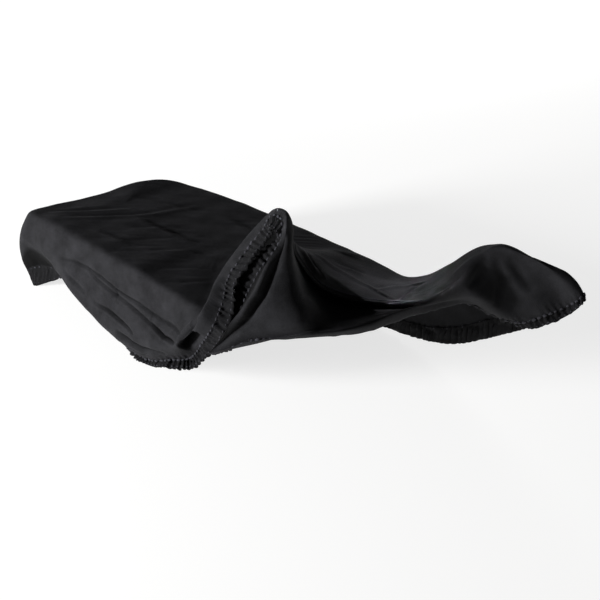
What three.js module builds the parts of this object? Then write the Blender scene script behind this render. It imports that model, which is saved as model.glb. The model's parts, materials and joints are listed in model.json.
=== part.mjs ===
// Stretch dust cover, caught half drawn on: the left end is fitted over its corners, and the open end
// is lifted by two corners of its hem. There it stands up in a tent at the back, sags to a lip and a
// hollow in the middle, and rises again to a cone at the front.
// Millimetres. +X runs the long way to the open end, +Y to the front and +Z up. The origin lies just
// under the cloth's top, which is held up there.
import * as THREE from "three";

// Driving sizes
const CLOTH_THICKNESS = 1.6;
const ELASTIC_THICKNESS = 2.0;
const ELASTIC_WIDTH = 16;
const SEAM_GAP = 0.9;
const BACK_FACE_Y = -128;
const SKIRT_HEM_Z = -106;

// Shape of a profile: part of the way at which each feature lies, and the rounding of the top's edge
const CROWN_PART = 0.45;
const EDGE_PART = 0.42;
const EDGE_REACH = 9;
const GROOVE_PART = 0.45;
const GROOVE_FALL = 0.6;
const ELASTIC_PART = 0.7;
const SEAM_PART = 0.4;
const RELAX = { rounds: 3, share: 0.5 };

// Division of the cloth: length of a step round the hem, and steps in each stretch of a profile
const NEAR_STEP = 15;
const END_STEP = 34;
const FAR_EVERY = 3;
const STEPS = { crown: 2, top: 2, edge: 2, side: 1, bend: 3, groove: 2, elastic: 3 };

// The cloth's lines in every section, from the top edge or lip down to the hem
const LINES = ["edge", "mid", "rim", "fold", "hem"];

// Back skirt, left to right: x of the section, z of its top edge, how far its bottom fold stands out,
// the fold's z and its shift along x, the hem's tuck from the fold, and the depth of the groove above it
const BACK_COLUMNS = ["name", "x", "edgeZ", "out", "foldZ", "shift", "tuck", "dip"];
const BACK_SKIRT = [
  ["back_corner", -180, 7, 5, -49, -4, [6, 36, -30], 4],
  ["back_tight", -152, 9, 4, -51, 0, [0, 40, -12], 4],
  ["back_loose", -128, 9, 8, -54, 3, [0, 34, -14], 4],
  ["pouch_start", -90, 9, 18, -57, 0, [-8, 28, -14], 4],
  ["pouch_left", -45, 9, 22, -72, 4, [-6, 28, -11], 4],
  ["pouch_low", 2, 8, 24, -83, 6, [-4, 28, -9], 4],
  ["pouch_mid", 48, 8, 25, -77, 10, [-3, 23, -14], 7],
  ["pouch_right", 90, 6, 26, -68, 12, [-4, 12, -22], 13],
];

// How the back skirt hangs: part of the way down to its fold, and how far it then stands off that line
const BACK_HANG = [
  { line: "mid", down: 0.42, off: -4.5, offByOut: 0.2 },
  { line: "rim", down: 0.78, off: -3, offByOut: -0.02 },
];

// Open end, from the back round to the front: points on the lines, and the depth of the groove. Up to
// the tip the fold is the puffed roll beside the elastic; past it the ridge, and then the hem's turn.
const PLACED_COLUMNS = ["name", ...LINES, "dip"];
const OPEN_END = [
  ["band_low", [128, -128, 6], [126, -136, -27], [132, -149, -49], [139, -154, -58], [133, -146, -85], 20],
  ["pocket", [164, -128, 5], [158, -136, -15], [162, -149, -29], [167, -155, -41], [181, -145, -65], 34],
  ["band_turn", [178, -125, 4], [180, -135, -2], [183, -145, -12], [180, -150, -25], [232, -151, -23], 26],
  ["roll_back", [182, -117, 4], [184, -127, 8], [190, -136, 9], [199, -140, 4], [264, -153, 16], 14],
  ["roll_mid", [182, -101, 4], [172, -107, 10], [174, -111, 17], [184, -113, 18], [230, -119, 22], 8],
  ["roll_top", [172, -77, 3], [154, -81, 11], [152, -83, 21], [160, -85, 27], [204, -96, 34], 4],
  ["tent_side", [160, -53, 3], [148, -59, 19], [150, -65, 33], [158, -71, 42], [193, -85, 52], 2],
  ["tent_back", [144, -11, 4], [150, -19, 41], [162, -28, 69], [175, -35, 88], [207, -60, 87], 4],
  ["tent_tip", [150, 18, 20], [174, -3, 62], [191, -17, 88], [207, -29, 106], [217, -57, 99], 2],
  ["tip_right", [202, -8, 62], [214, -18, 84], [231, -27, 104], [241, -38, 120], [228, -56, 99]],
  ["ridge_top", [214, -17, 63], [224, -30, 63], [243, -49, 68], [245, -64, 85], [214, -44, 79], 3],
  ["ridge_upper", [229, -17, 53], [229, -18, 40], [249, -61, 51], [257, -92, 60], [174, -65, 39], 4],
  ["ridge_mid", [245, -16, 43], [240, -9, 27], [262, -67, 31], [264, -118, 39], [178, -76, 22], 4],
  ["ridge_low", [260, -14, 35], [251, -2, 18], [276, -70, 18], [258, -134, 23], [203, -95, 8], 2],
  ["ridge_foot", [270, -6, 28], [260, 7, 11], [287, -80, 19], [246, -138, 6], [227, -97, 3]],
  ["flap_back", [279, 3, 23], [268, 18, 8], [288, -106, 22], [260, -137, 3], [250, -102, -1]],
  ["hem_near", [288, 10, 20], [281, 19, 5], [297, -102, 21], [283, -123, 7], [273, -93, 0]],
  ["hem_mid", [303, 25, 16], [299, 33, 3], [326, -59, 16], [332, -66, 6], [308, -42, 1]],
  ["hem_right", [316, 38, 12], [314, 44, 1], [343, -27, 14], [350, -24, 4], [318, -6, -1]],
  ["hem_low", [330, 51, 10], [330, 55, 1], [339, 28, 7], [345, 36, -2], [317, 42, -7]],
  ["valley", [344, 64, 10], [341, 66, 3], [350, 75, 7], [353, 83, -2], [327, 86, -7]],
  ["hem_front", [357, 81, 20], [360, 92, 12], [362, 111, 8], [365, 127, -3], [339, 130, -8]],
  ["cone_low", [369, 97, 38], [379, 107, 27], [390, 124, 12], [395, 150, -18], [370, 161, -28]],
  ["cone_mid", [367, 129, 54], [377, 141, 36], [394, 154, 7], [409, 163, -16], [413, 169, -31]],
  ["grip", [377, 148, 69], [391, 157, 50], [412, 167, 22], [430, 173, 0], [442, 176, -16]],
  ["grip_end", [414, 167, 63], [426, 173, 51], [446, 178, 34], [459, 181, 19], [471, 182, 7]],
];

// The pulled corner at the far end of the grip, near layer and far layer
const PULLED_CORNER = [
  ["corner_near", [444, 179, 56], [452, 182, 50], [465, 185, 40], [475, 186, 31], [483, 186, 23]],
  ["corner_far", [440, 193, 50], [446, 199, 46], [456, 203, 38], [465, 204, 29], [471, 203, 21]],
];

// Front skirt, right to left: its top edge, how far it stands out, its hem's z, and the section it faces
const FRONT_COLUMNS = ["name", "edge", "out", "hemZ", "faces"];
const FRONT_SKIRT = [
  ["front_grip_end", [408, 185, 51], 10, -37, "grip_end"],
  ["front_grip", [376, 176, 61], 12, -57, "grip"],
  ["front_cone", [348, 162, 59], 16, -73, "cone_mid"],
  ["front_rise", [312, 142, 26], 22, -89, "hem_front"],
  ["front_valley", [257, 137, -8], 20, -101, "hem_right"],
  ["front_right", [180, 136, -8], 16, SKIRT_HEM_Z, "ridge_mid"],
  ["front_mid", [70, 134, -8], 18, SKIRT_HEM_Z, "band_low"],
  ["front_left", [-40, 131, -8], 15, SKIRT_HEM_Z, "pouch_left"],
  ["front_corner", [-132, 115, -6], 30, SKIRT_HEM_Z, "back_tight"],
];

// How the front skirt hangs: part of its drop and of its standing out at each line of the cloth
const FRONT_HANG = [
  { line: "mid", drop: 0.2, out: 0.6 },
  { line: "rim", drop: 0.42, out: 0.9 },
  { line: "fold", drop: 0.66, out: 1.0 },
  { line: "hem", drop: 1.0, out: 0.85 },
];

// Fitted end, from the front corner round to the back corner, where the hem is folded in
const FITTED_END = [
  ["end_front", [-184, 93, -2], [-197, 108, -29], [-204, 117, -53], [-207, 122, -77], [-203, 121, -106]],
  ["end_side", [-199, 55, 2], [-212, 57, -25], [-218, 58, -49], [-219, 59, -75], [-208, 59, -106]],
  ["end_mid", [-200, -15, 1], [-214, -15, -25], [-221, -15, -49], [-222, -15, -75], [-208, -15, -106]],
  ["end_back", [-201, -83, 4], [-216, -83, -23], [-224, -83, -47], [-224, -83, -75], [-208, -83, -106]],
  ["end_out", [-199, -123, 6], [-216, -128, -23], [-225, -130, -45], [-224, -130, -75], [-205, -127, -106]],
  ["end_in", [-192, -128, 7], [-198, -135, -21], [-200, -136, -45], [-197, -131, -66], [-184, -112, -100]],
];

// Middle line of the top, from the fitted end to the pulled corner, by the section it belongs to
const MIDDLE_COLUMNS = ["section", "at"];
const MIDDLE_LINE = [
  ["back_corner", [-140, -5, 2]],
  ["pouch_start", [-80, -3, 2]],
  ["band_low", [52, 4, 2]],
  ["roll_mid", [62, 8, 2]],
  ["tent_tip", [100, 42, 2]],
  ["tip_right", [138, 68, 5]],
  ["ridge_upper", [174, 62, 18]],
  ["ridge_low", [211, 52, 16]],
  ["hem_near", [257, 53, 10]],
  ["hem_mid", [284, 57, 7]],
  ["hem_low", [312, 75, 5]],
  ["valley", [325, 90, 9]],
  ["hem_front", [344, 104, 27]],
  ["cone_low", [350, 118, 41]],
  ["cone_mid", [352, 148, 57]],
  ["grip", [374, 163, 68]],
  ["grip_end", [412, 176, 60]],
];

// Main drag folds of the back skirt, from end to end in x and z: a trough with a soft ridge under it
const DRAG_FOLDS = [
  { from: [-96, -22], to: [28, -21], depth: 3.5, width: 8 },
  { from: [23, -26], to: [159, -35], depth: 4.5, width: 8 },
  { from: [82, -47], to: [132, -56], depth: 4, width: 7 },
  { from: [-39, -64], to: [44, -77], depth: 3.5, width: 7 },
];
const DRAG_RIDGE = { below: 1.6, share: 0.6 };

/** The rows of a table as objects with its columns' names. */
function named(columns, table) {
  return table.map((row) => Object.fromEntries(columns.map((column, i) => [column, row[i]])));
}

/** A section of the back skirt as points on the cloth's lines. */
function backSection({ name, x, edgeZ, out, foldZ, shift, tuck, dip }) {
  const edge = new THREE.Vector3(x, BACK_FACE_Y, edgeZ);
  const fold = new THREE.Vector3(x + shift, BACK_FACE_Y - out, foldZ);
  const hem = fold.clone().add(new THREE.Vector3(...tuck));
  const section = { name, edge, fold, hem, dip };
  for (const { line, down, off, offByOut } of BACK_HANG) {
    section[line] = edge.clone().lerp(fold, down).add(new THREE.Vector3(0, off + offByOut * out, 0));
  }
  return section;
}

/** A section of the front skirt, hanging from its edge. */
function frontSection({ name, edge, out, hemZ, faces }) {
  const [x, y, z] = edge;
  const section = { name, edge: new THREE.Vector3(x, y, z), dip: 0, faces };
  for (const hang of FRONT_HANG) {
    section[hang.line] = new THREE.Vector3(x, y + out * hang.out, z + (hemZ - z) * hang.drop);
  }
  return section;
}

/** A section whose lines are given point by point. */
function placedSection(row) {
  const section = { name: row.name, dip: row.dip ?? 0 };
  for (const line of LINES) section[line] = new THREE.Vector3(...row[line]);
  return section;
}

/** A smooth curve value through a list of points at a row number that may fall between two rows. */
function through(points, row, closed) {
  const count = points.length;
  const first = closed ? Math.floor(row) : Math.min(Math.floor(row), count - 2);
  const at = (i) => points[closed ? (i + count) % count : THREE.MathUtils.clamp(i, 0, count - 1)];
  const [before, start, end, after] = [at(first - 1), at(first), at(first + 1), at(first + 2)];
  const knot = (a, b) => Math.sqrt(Math.max(a.distanceTo(b), 1e-3));
  const step = knot(start, end);
  const stepIn = before === start ? step : knot(before, start);
  const stepOut = end === after ? step : knot(end, after);
  const slope = (a, b, c, ab, bc) =>
    b.clone().sub(a).divideScalar(ab)
      .sub(c.clone().sub(a).divideScalar(ab + bc))
      .add(c.clone().sub(b).divideScalar(bc))
      .multiplyScalar(step);
  const slopeIn = slope(before, start, end, stepIn, step);
  const slopeOut = slope(start, end, after, step, stepOut);
  const f = row - first;
  const f2 = f * f;
  const f3 = f2 * f;
  return new THREE.Vector3()
    .addScaledVector(start, 2 * f3 - 3 * f2 + 1)
    .addScaledVector(slopeIn, f3 - 2 * f2 + f)
    .addScaledVector(end, 3 * f2 - 2 * f3)
    .addScaledVector(slopeOut, f3 - f2);
}

/** Value at x on straight lines between the pairs (xs, ys), with xs rising. */
function between(x, xs, ys) {
  const i = Math.max(1, xs.findIndex((v) => v >= x));
  return THREE.MathUtils.mapLinear(x, xs[i - 1], xs[i], ys[i - 1], ys[i]);
}

const backSections = named(BACK_COLUMNS, BACK_SKIRT).map(backSection);
const openSections = named(PLACED_COLUMNS, OPEN_END).map(placedSection);
const nearSections = [...backSections, ...openSections];
const cornerSections = named(PLACED_COLUMNS, PULLED_CORNER).map(placedSection);
const farSections = named(FRONT_COLUMNS, FRONT_SKIRT).map(frontSection);
const endSections = named(PLACED_COLUMNS, FITTED_END).map(placedSection);
const middleLine = named(MIDDLE_COLUMNS, MIDDLE_LINE);
const ring = [...nearSections, ...cornerSections, ...farSections, ...endSections];
const nearCount = nearSections.length;
const farStart = nearCount + cornerSections.length;
const farEnd = farStart + farSections.length - 1;
const nearRow = (name) => nearSections.findIndex((section) => section.name === name);

/** Row numbers from one section to another, a step apart, without the last. */
function rowsBetween(from, to, step) {
  const rows = [];
  for (let k = from; k < to; k += 1) {
    const next = ring[(k + 1) % ring.length];
    const length = Math.max(...LINES.map((line) => ring[k][line].distanceTo(next[line])));
    const parts = Math.max(1, Math.round(length / step));
    for (let i = 0; i < parts; i += 1) rows.push(k + i / parts);
  }
  return rows;
}

/** The row of the front skirt that faces a row of the near side. */
function facingRow(row) {
  const facedRows = [0, ...farSections.map((section) => nearRow(section.faces)).reverse()];
  const farRows = [farEnd + 0.5, ...farSections.map((_, i) => farStart + i).reverse()];
  return between(row, facedRows, farRows);
}

/** The stations round the cover: row number in the ring, and place on the middle line. */
function stationsRound() {
  const near = [...rowsBetween(0, nearCount - 1, NEAR_STEP), nearCount - 1];
  const lastStation = near.length - 1;
  const far = near
    .map((row, middle) => ({ row: facingRow(row), middle }))
    .filter(({ middle }) => middle % FAR_EVERY === 0 || middle === lastStation)
    .reverse();
  const corner = rowsBetween(nearCount - 1, farStart, NEAR_STEP).filter((row) => row > nearCount - 1);
  const end = rowsBetween(farEnd, ring.length, END_STEP).filter((row) => row > farEnd + 0.5);
  return [
    ...near.map((row, middle) => ({ row, middle, nearRow: row })),
    ...corner.map((row) => ({ row, middle: lastStation, nearRow: nearCount - 1 })),
    ...far.map(({ row, middle }) => ({ row, middle, nearRow: near[middle] })),
    ...end.map((row) => ({ row, middle: 0, nearRow: 0 })),
  ];
}

/** Points of a soft bend that leaves a, turns at corner and reaches b, without a itself. */
function bend(a, corner, b, steps) {
  const curve = new THREE.QuadraticBezierCurve3(a, corner, b);
  return curve.getPoints(steps).slice(1);
}

/** Points of a straight stretch from a to b, without a itself. */
function straight(a, b, steps) {
  return new THREE.LineCurve3(a, b).getPoints(steps).slice(1);
}

/** A point at most reach from a corner, and at most the given part of the way, towards another point. */
function towards(corner, other, part, reach = Infinity) {
  const length = corner.distanceTo(other);
  return corner.clone().lerp(other, Math.min(part, reach / Math.max(length, 1e-6)));
}

/** The point halfway between two others. */
function halfway(a, b) {
  return a.clone().lerp(b, 0.5);
}

/** The drag folds' push on a point of the back skirt, inwards along +Y. */
function dragFolds(point) {
  let push = 0;
  for (const { from, to, depth, width } of DRAG_FOLDS) {
    const [start, end] = [from, to].map(([x, z]) => new THREE.Vector3(x, 0, z));
    const line = new THREE.Line3(start, end);
    const flat = new THREE.Vector3(point.x, 0, point.z);
    const foot = line.closestPointToPoint(flat, true, new THREE.Vector3());
    const along = Math.abs(flat.x - foot.x) / width;
    const height = (flat.z - foot.z) / width;
    const trough = Math.exp(-(height * height));
    const ridge = Math.exp(-((height + DRAG_RIDGE.below) ** 2));
    push += depth * (trough - DRAG_RIDGE.share * ridge) * Math.exp(-(along * along));
  }
  return push;
}

/** The profile at a station: the cloth from the middle line to the seam, the elastic from seam to hem. */
function profileAt(station, middlePoint, crownPoint) {
  const at = (line) => through(ring.map((section) => section[line]), station.row, true);
  const [edge, mid, rim, fold, hem] = LINES.map(at);
  const dip = through(ring.map((section) => new THREE.Vector3(section.dip, 0, 0)), station.row, true).x;
  const inwards = middlePoint.clone().sub(fold).setZ(0).normalize();
  inwards.setZ(-GROOVE_FALL).normalize();
  const groove = fold.clone().lerp(hem, GROOVE_PART).addScaledVector(inwards, dip);
  const stitch = towards(hem, groove, ELASTIC_PART, ELASTIC_WIDTH);
  const seam = halfway(stitch, groove);

  const crownEdge = towards(middlePoint, edge, CROWN_PART);
  const edgeTop = towards(edge, middlePoint, EDGE_PART, EDGE_REACH);
  const edgeSide = towards(edge, mid, EDGE_PART, EDGE_REACH);
  const halfMid = halfway(edge, mid);
  const halfRim = halfway(mid, rim);
  const halfFold = halfway(rim, fold);
  const halfGroove = halfway(fold, groove);
  const seamCloth = towards(seam, groove, SEAM_PART, SEAM_GAP / 2);
  const seamElastic = towards(seam, stitch, SEAM_PART, SEAM_GAP / 2);

  const cloth = [
    crownPoint,
    ...bend(crownPoint, halfway(middlePoint, crownEdge), crownEdge, STEPS.crown),
    ...straight(crownEdge, edgeTop, STEPS.top),
    ...bend(edgeTop, edge, edgeSide, STEPS.edge),
    ...straight(edgeSide, halfMid, STEPS.side),
    ...bend(halfMid, mid, halfRim, STEPS.bend),
    ...bend(halfRim, rim, halfFold, STEPS.bend),
    ...bend(halfFold, fold, halfGroove, STEPS.bend),
    ...bend(halfGroove, groove, seamCloth, STEPS.groove),
  ];
  if (station.row < nearRow("roll_back") && station.row > nearRow("back_corner")) {
    const skirtStart = STEPS.crown + STEPS.top + STEPS.edge;
    const skirtEnd = cloth.length - STEPS.groove - 1;
    cloth.slice(skirtStart + 1, skirtEnd).forEach((point) => point.setY(point.y + dragFolds(point)));
  }
  const elastic = [seamElastic, ...bend(seamElastic, stitch, hem, STEPS.elastic)];
  return { cloth, elastic };
}

/** All profiles round the cover. */
function profilesRound(stations) {
  const middleRows = middleLine.map(({ section }) => nearRow(section));
  const middlePoints = middleLine.map(({ at }) => new THREE.Vector3(...at));
  const middles = stations.map(({ nearRow: row }) =>
    through(middlePoints, between(row, middleRows, middleRows.map((_, i) => i)), false));
  const edgeAt = (row) => through(ring.map((s) => s.edge), row, true);
  const edges = stations.map(({ row }) => edgeAt(row));
  const crowns = new Map();
  stations.forEach(({ row, middle }, i) => {
    if (crowns.has(middle)) return;
    const nearEdge = towards(middles[i], edges[i], CROWN_PART);
    const farEdge = towards(middles[i], edgeAt(facingRow(row)), CROWN_PART);
    crowns.set(middle, halfway(halfway(nearEdge, farEdge), middles[i]));
  });
  return stations.map((station, i) => profileAt(station, middles[i], crowns.get(station.middle)));
}

/** The whole skin, cloth and elastic, as one open surface, with each point's row in its profile. */
function skinSurface(stations, profiles) {
  const points = [];
  const rows = [];
  const add = (point, row) => {
    points.push(point);
    rows.push(row);
    return points.length - 1;
  };
  const middleIds = new Map();
  const ids = profiles.map(({ cloth, elastic }, i) => {
    const { middle } = stations[i];
    if (!middleIds.has(middle)) middleIds.set(middle, add(cloth[0], 0));
    return [middleIds.get(middle), ...[...cloth.slice(1), ...elastic].map((point, j) => add(point, j + 1))];
  });
  const triangles = [];
  const facet = (a, b, c) => {
    if (a !== b && b !== c && a !== c) triangles.push([a, b, c]);
  };
  ids.forEach((here, i) => {
    const next = ids[(i + 1) % ids.length];
    const [from, to] = [stations[i].middle, stations[(i + 1) % ids.length].middle];
    const turn = Math.sign(to - from);
    for (let m = from; m !== to; m += turn) facet(here[1], middleIds.get(m + turn), middleIds.get(m));
    facet(here[1], next[1], middleIds.get(to));
    for (let j = 1; j < here.length - 1; j += 1) {
      facet(here[j], here[j + 1], next[j + 1]);
      facet(here[j], next[j + 1], next[j]);
    }
  });
  return { points, rows, triangles, ids };
}

/** Draws each point of the skin part of the way to its neighbours' middle; the hem only along itself. */
function relax({ points, triangles }) {
  const sides = new Map();
  for (const [a, b, c] of triangles) {
    for (const [p, q] of [[a, b], [b, c], [c, a]]) {
      const key = p < q ? `${p},${q}` : `${q},${p}`;
      sides.set(key, { ends: [p, q], faces: (sides.get(key)?.faces ?? 0) + 1 });
    }
  }
  const around = points.map(() => []);
  const alongHem = points.map(() => []);
  for (const { ends: [p, q], faces } of sides.values()) {
    around[p].push(q);
    around[q].push(p);
    if (faces === 1) {
      alongHem[p].push(q);
      alongHem[q].push(p);
    }
  }
  const neighbours = points.map((_, i) => (alongHem[i].length > 0 ? alongHem[i] : around[i]));
  for (let round = 0; round < RELAX.rounds; round += 1) {
    const means = neighbours.map((ids) => {
      const sum = ids.reduce((total, id) => total.add(points[id]), new THREE.Vector3());
      return sum.divideScalar(ids.length);
    });
    points.forEach((point, i) => point.lerp(means[i], RELAX.share));
  }
}

/** Parts the two rows at the seam by the seam's gap. */
function partSeam({ points, ids }, clothRow) {
  for (const profile of ids) {
    const above = points[profile[clothRow - 1]];
    const below = points[profile[clothRow + 2]];
    const seam = halfway(points[profile[clothRow]], points[profile[clothRow + 1]]);
    points[profile[clothRow]].copy(towards(seam, above, SEAM_PART, SEAM_GAP / 2));
    points[profile[clothRow + 1]].copy(towards(seam, below, SEAM_PART, SEAM_GAP / 2));
  }
}

/** Unit normals of the skin's points, the same on both sides of the seam. */
function skinNormals({ points, triangles, ids }, clothRow) {
  const geometry = new THREE.BufferGeometry().setFromPoints(points);
  geometry.setIndex(triangles.flat());
  geometry.computeVertexNormals();
  const normals = geometry.getAttribute("normal");
  const units = points.map((_, i) => new THREE.Vector3().fromBufferAttribute(normals, i));
  for (const profile of ids) {
    const [above, below] = [units[profile[clothRow]], units[profile[clothRow + 1]]];
    above.add(below).normalize();
    below.copy(above);
  }
  return units;
}

/** A closed solid of one thickness under the part of the skin between two rows. */
function solidBetween(skin, normals, firstRow, lastRow, thickness) {
  const inside = (id) => skin.rows[id] >= firstRow && skin.rows[id] <= lastRow;
  const kept = skin.triangles.filter((triangle) => triangle.every(inside));
  const used = [...new Set(kept.flat())];
  const outer = new Map(used.map((id, i) => [id, i]));
  const count = used.length;
  const positions = [
    ...used.map((id) => skin.points[id]),
    ...used.map((id) => skin.points[id].clone().addScaledVector(normals[id], -thickness)),
  ];
  const index = [];
  const sides = new Map();
  for (const triangle of kept) {
    const [a, b, c] = triangle.map((id) => outer.get(id));
    index.push(a, b, c, a + count, c + count, b + count);
    for (const [p, q] of [[a, b], [b, c], [c, a]]) {
      const back = `${q},${p}`;
      if (sides.has(back)) sides.delete(back);
      else sides.set(`${p},${q}`, [p, q]);
    }
  }
  for (const [p, q] of sides.values()) index.push(p, p + count, q, q, p + count, q + count);
  const geometry = new THREE.BufferGeometry().setFromPoints(positions);
  geometry.setIndex(index);
  geometry.computeVertexNormals();
  return geometry;
}

const stations = stationsRound();
const profiles = profilesRound(stations);
const skin = skinSurface(stations, profiles);
const clothRows = profiles[0].cloth.length;
relax(skin);
partSeam(skin, clothRows - 1);
const normals = skinNormals(skin, clothRows - 1);
const allRows = clothRows + profiles[0].elastic.length;

const clothMaterial = new THREE.MeshStandardMaterial({ color: "#2b2b2d", roughness: 0.92, metalness: 0 });
const elasticMaterial = new THREE.MeshStandardMaterial({ color: "#1d1d1f", roughness: 0.9, metalness: 0 });

const cover = new THREE.Group();
cover.name = "keyboard_dust_cover";

const clothSolid = solidBetween(skin, normals, 0, clothRows - 1, CLOTH_THICKNESS);
const cloth = new THREE.Mesh(clothSolid, clothMaterial);
cloth.name = "cover_cloth";
cover.add(cloth);

const elasticSolid = solidBetween(skin, normals, clothRows, allRows - 1, ELASTIC_THICKNESS);
const elastic = new THREE.Mesh(elasticSolid, elasticMaterial);
elastic.name = "hem_elastic";
cover.add(elastic);

export default cover;
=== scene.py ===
"""Dust cover of black stretch cloth with a gathered elastic hem, caught half drawn on.

The cover's surface is a net of profiles. Each profile runs from the middle line of the top over the edge
and down to the hem, and the profiles follow each other round the hem. Lengths in the tables are in
millimetres, and meshes are in metres.
"""
import json
import logging
import math
from dataclasses import dataclass, field
from enum import Enum
from typing import NamedTuple

import bpy
import mathutils
import numpy as np
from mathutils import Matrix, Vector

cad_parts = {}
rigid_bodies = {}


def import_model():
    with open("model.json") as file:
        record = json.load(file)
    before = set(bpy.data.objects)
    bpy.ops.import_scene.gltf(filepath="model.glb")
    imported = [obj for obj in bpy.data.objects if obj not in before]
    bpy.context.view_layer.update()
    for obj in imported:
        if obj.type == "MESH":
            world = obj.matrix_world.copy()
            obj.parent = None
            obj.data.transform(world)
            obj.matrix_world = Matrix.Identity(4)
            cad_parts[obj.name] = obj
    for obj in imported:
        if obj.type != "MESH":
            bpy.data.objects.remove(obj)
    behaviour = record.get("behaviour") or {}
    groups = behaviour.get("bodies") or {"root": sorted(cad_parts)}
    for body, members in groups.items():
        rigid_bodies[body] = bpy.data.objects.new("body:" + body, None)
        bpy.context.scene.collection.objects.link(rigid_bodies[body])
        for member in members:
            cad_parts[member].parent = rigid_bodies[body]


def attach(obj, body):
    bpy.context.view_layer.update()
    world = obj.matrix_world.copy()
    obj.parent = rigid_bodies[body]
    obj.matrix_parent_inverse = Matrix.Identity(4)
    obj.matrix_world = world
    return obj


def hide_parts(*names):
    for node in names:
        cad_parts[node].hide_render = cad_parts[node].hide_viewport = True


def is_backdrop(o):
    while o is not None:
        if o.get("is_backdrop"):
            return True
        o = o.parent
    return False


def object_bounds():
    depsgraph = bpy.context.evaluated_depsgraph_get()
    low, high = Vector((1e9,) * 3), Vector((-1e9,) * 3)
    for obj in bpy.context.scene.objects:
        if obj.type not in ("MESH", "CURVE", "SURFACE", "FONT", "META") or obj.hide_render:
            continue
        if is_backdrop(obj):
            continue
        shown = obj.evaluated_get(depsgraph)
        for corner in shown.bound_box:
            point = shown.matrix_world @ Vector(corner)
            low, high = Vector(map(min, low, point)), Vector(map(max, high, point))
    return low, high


LOG = logging.getLogger("dust_cover")
MM = 0.001
BODY = "root"
# Attribute of painted shade: how far the cloth's colour is darkened in creases and on turned-in cloth, from 0
# to 1.
PAINTED_SHADE = "painted_crease_shade"
Point = tuple[float, float, float]

# The lines that every section has a point on, from the edge of the top down to the hem.
LINES = ("edge", "mid", "rim", "fold", "hem")

# Millimetres under which two points of a curve count as one, and a length that is safe to divide by.
SAME_POINT = 1e-3
TINY = 1e-9

# Waves in a noise, what makes the mean wave one scale long, and what brings their mean back to about 1.
NOISE_WAVES = 9
NOISE_TURNS = 0.6
NOISE_GAIN = 1.8


class Placed(NamedTuple):
    """A section given by a point on each of the cloth's lines, and the depth of the groove over its hem."""

    name: str
    edge: Point
    mid: Point
    rim: Point
    fold: Point
    hem: Point
    dip: float = 0.0


class BackRow(NamedTuple):
    """A section of the back skirt: its top edge, how its bottom fold stands out and hangs, and its tuck."""

    name: str
    x: float
    edge_z: float
    out: float
    fold_z: float
    shift: float
    tuck: Point
    dip: float


class FrontRow(NamedTuple):
    """A section of the front skirt: its top edge, how far it stands out, its hem, and what it faces."""

    name: str
    edge: Point
    out: float
    hem_z: float
    faces: str


class MiddleRow(NamedTuple):
    """A point of the top's middle line, by the section that it belongs to."""

    section: str
    at: Point


class Plane(Enum):
    """The plane in which a crease is drawn, as the two axes that its points give, or space."""

    BACK = (0, 2)
    TOP = (0, 1)
    SPACE = (0, 1, 2)


class Crease(NamedTuple):
    """A soft crease: plane and line, depth, width and soft ridge, and a way in of its own if it has one."""

    plane: Plane
    line: tuple[tuple[float, ...], ...]
    depth: float
    width: float
    ridge: float = 0.5
    into: Point | None = None


# The back skirt, from the fitted corner to the tent: tight at first, then a loose pouch over a tucked hem.
BACK_SKIRT = (
    BackRow("back_corner", -180, 7, 6, -40, -3, (-2, 18, -59), 18),
    BackRow("back_tight", -152, 9, 5, -46, 0, (-17, 25, -45), 16),
    BackRow("back_loose", -128, 9, 8, -54, 3, (0, 34, -14), 4),
    BackRow("pouch_start", -90, 9, 18, -57, 0, (-8, 28, -14), 4),
    BackRow("pouch_left", -45, 9, 22, -72, 4, (-6, 28, -11), 4),
    BackRow("pouch_low", 2, 8, 24, -83, 6, (-4, 28, -9), 4),
    BackRow("pouch_mid", 48, 8, 26, -84, 10, (-3, 12, -20), 9),
    BackRow("pouch_right", 90, 6, 27, -77, 12, (-4, 9, -20), 15),
)

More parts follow.
